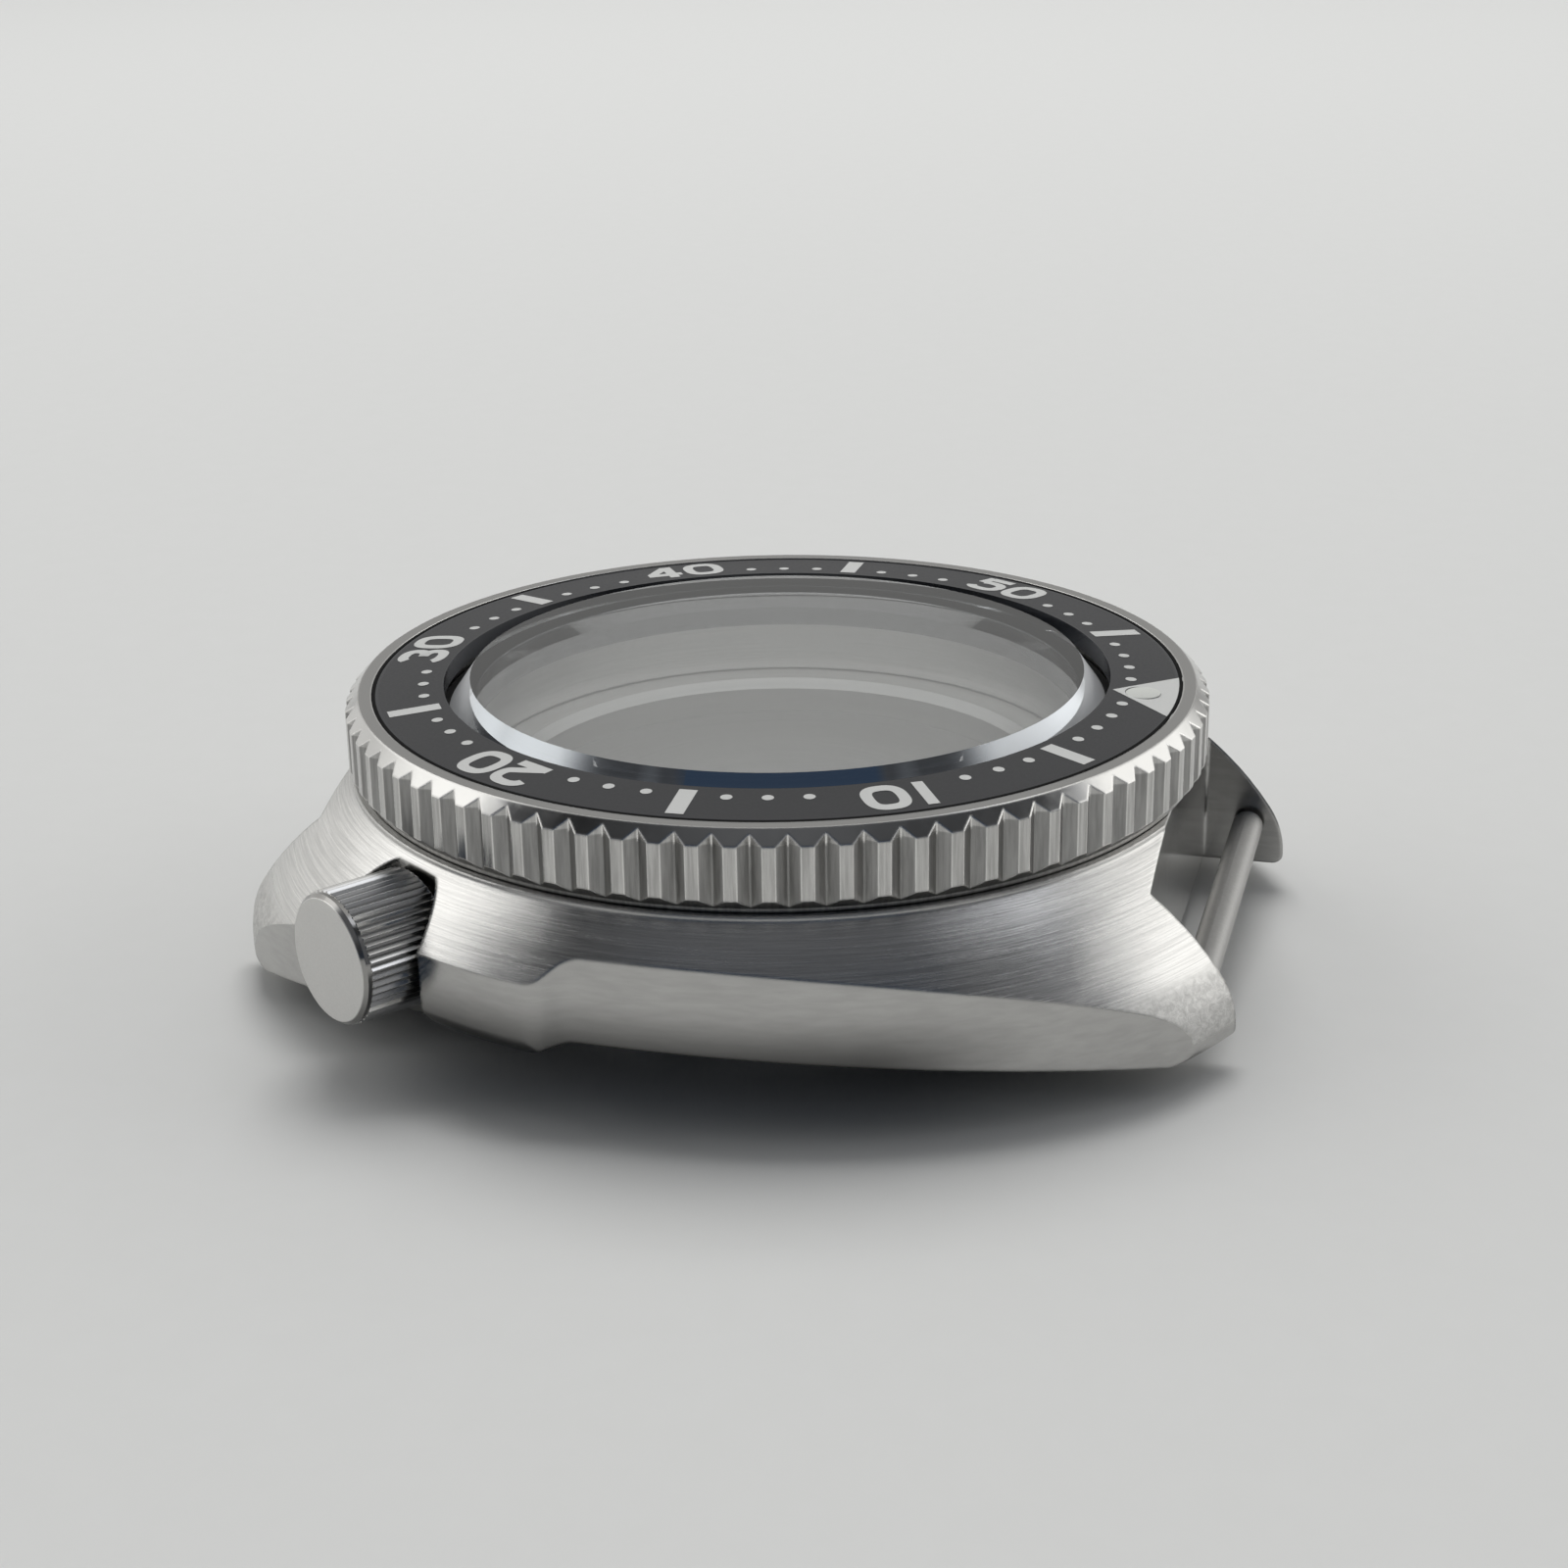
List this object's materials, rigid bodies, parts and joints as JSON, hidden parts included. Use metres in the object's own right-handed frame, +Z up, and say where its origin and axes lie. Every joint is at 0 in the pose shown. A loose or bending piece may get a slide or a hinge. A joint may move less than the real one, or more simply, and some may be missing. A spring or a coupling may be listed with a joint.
{
  "type": "empty watch case",
  "caption": "Empty steel diver's watch case with a toothed turning bezel, flat glass, screw-down crown, screwed back and sprung strap bars.",
  "frame": {"origin": "centre of the back's underside, on the dial axis", "axes": "+Z up through the glass, +Y towards 12 o'clock of the case, +X towards 3 o'clock"},
  "size_m": [0.0445, 0.0466, 0.0132],
  "materials": {
    "case_steel": "circular brushed top, lengthwise brushed flanks",
    "bezel_steel": "satin teeth, polished slope and edge",
    "insert_finish": "matt dark grey with pale printed scale",
    "pip_lume": "pale luminous dot",
    "crystal_glass": "clear flat glass with a frosted bevel",
    "gasket_nylon": "dark nylon",
    "gasket_rubber": "black rubber",
    "spring_steel": "bright spring steel",
    "back_steel": "turned inside, satin outside",
    "crown_steel": "satin face, bright knurls, polished edge",
    "bar_steel": "rough matt tube"
  },
  "bodies": {
    "case": {"mid_case": "case_steel", "crystal": "crystal_glass", "crystal_gasket": "gasket_nylon", "bezel_gasket": "gasket_rubber", "click_spring": "spring_steel", "crown_tube": "crown_steel", "tube_gaskets": "gasket_rubber"},
    "bezel": {"bezel_ring": "bezel_steel", "bezel_insert": "insert_finish", "bezel_pip": "pip_lume"},
    "back_carriage": {"caseback_gasket": "gasket_rubber"},
    "back": {"caseback": "back_steel"},
    "crown_carriage": {"crown_gasket": "gasket_rubber"},
    "crown": {"crown_head": "crown_steel", "crown_pipe": "crown_steel", "crown_spring": "spring_steel"},
    "crown_post": {"crown_post": "crown_steel"},
    "bar_12": {"spring_bar_12_tube": "bar_steel", "spring_bar_12_spring": "spring_steel"},
    "bar_12_left": {"spring_bar_12_pin_left": "bar_steel"},
    "bar_12_right": {"spring_bar_12_pin_right": "bar_steel"},
    "bar_6": {"spring_bar_6_tube": "bar_steel", "spring_bar_6_spring": "spring_steel"},
    "bar_6_left": {"spring_bar_6_pin_left": "bar_steel"},
    "bar_6_right": {"spring_bar_6_pin_right": "bar_steel"}
  },
  "joints": [
    {"name": "bezel_turn", "type": "hinge", "parent": "case", "child": "bezel", "pos_m": [0, 0, 0.011], "axis": [0, 0, 1], "continuous": true},
    {"name": "back_travel", "type": "slide", "parent": "case", "child": "back_carriage", "axis": [0, 0, -1], "range_m": [0, 0.003]},
    {"name": "back_turn", "type": "hinge", "parent": "back_carriage", "child": "back", "pos_m": [0, 0, 0], "axis": [0, 0, -1], "range_deg": [0, 1440]},
    {"name": "crown_travel", "type": "slide", "parent": "case", "child": "crown_carriage", "axis": [0.8241, -0.5664, 0], "range_m": [0, 0.0016]},
    {"name": "crown_turn", "type": "hinge", "parent": "crown_carriage", "child": "crown", "pos_m": [0.01813, -0.01246, 0.0056], "axis": [0.8241, -0.5664, 0], "range_deg": [0, 1440]},
    {"name": "post_slide", "type": "slide", "parent": "crown", "child": "crown_post", "axis": [0.8241, -0.5664, 0], "range_m": [0, 0.0018], "stiffness_N_per_m": 150, "springref_m": -0.004, "deforming": ["crown_spring"]},
    {"name": "bar_12_turn", "type": "hinge", "parent": "case", "child": "bar_12", "pos_m": [0, 0.0215, 0.0032], "axis": [1, 0, 0], "continuous": true},
    {"name": "bar_12_left_pin", "type": "slide", "parent": "bar_12", "child": "bar_12_left", "axis": [1, 0, 0], "range_m": [0, 0.001], "stiffness_N_per_m": 300, "springref_m": -0.002, "deforming": ["spring_bar_12_spring"]},
    {"name": "bar_12_right_pin", "type": "slide", "parent": "bar_12", "child": "bar_12_right", "axis": [-1, 0, 0], "range_m": [0, 0.001], "stiffness_N_per_m": 300, "springref_m": -0.002, "deforming": ["spring_bar_12_spring"]},
    {"name": "bar_6_turn", "type": "hinge", "parent": "case", "child": "bar_6", "pos_m": [0, -0.0215, 0.0032], "axis": [1, 0, 0], "continuous": true},
    {"name": "bar_6_left_pin", "type": "slide", "parent": "bar_6", "child": "bar_6_left", "axis": [1, 0, 0], "range_m": [0, 0.001], "stiffness_N_per_m": 300, "springref_m": -0.002, "deforming": ["spring_bar_6_spring"]},
    {"name": "bar_6_right_pin", "type": "slide", "parent": "bar_6", "child": "bar_6_right", "axis": [-1, 0, 0], "range_m": [0, 0.001], "stiffness_N_per_m": 300, "springref_m": -0.002, "deforming": ["spring_bar_6_spring"]}
  ],
  "couplings": [
    {"joint": "back_turn", "follows": "back_travel", "rad_per_m": 8377.6},
    {"joint": "crown_turn", "follows": "crown_travel", "rad_per_m": 15708}
  ]
}
